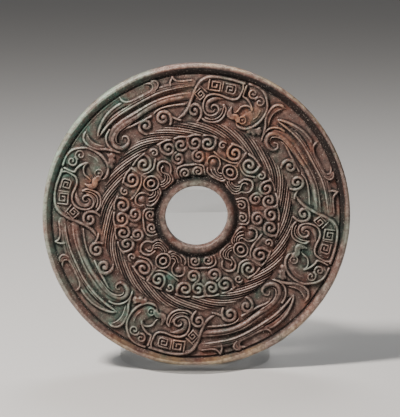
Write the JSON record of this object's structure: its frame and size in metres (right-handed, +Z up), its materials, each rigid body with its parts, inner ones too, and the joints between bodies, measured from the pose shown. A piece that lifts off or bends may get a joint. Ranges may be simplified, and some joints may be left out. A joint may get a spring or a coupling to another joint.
{
  "type": "jade bi disc on a clear stand",
  "caption": "Round flat carved stone disc with a central hole, a round rim, a rope ring and raised scrollwork, upright in the slot of a clear acrylic column.",
  "frame": {"origin": "centre of the acrylic column's round foot, on the surface it stands on", "axes": "+Z up, -Y the way the carved face looks, +X to the right as that face is seen; the disc's own axis runs along Y"},
  "size_m": [0.2, 0.1, 0.203],
  "materials": {
    "jade": "nephrite jade, carved and polished, browned by burial, with green and rust patches and worn pale ridges",
    "acrylic": "clear cast acrylic rod, polished on every face"
  },
  "bodies": {
    "root": {"jade_disc": "jade", "acrylic_stand": "acrylic"}
  },
  "joints": []
}
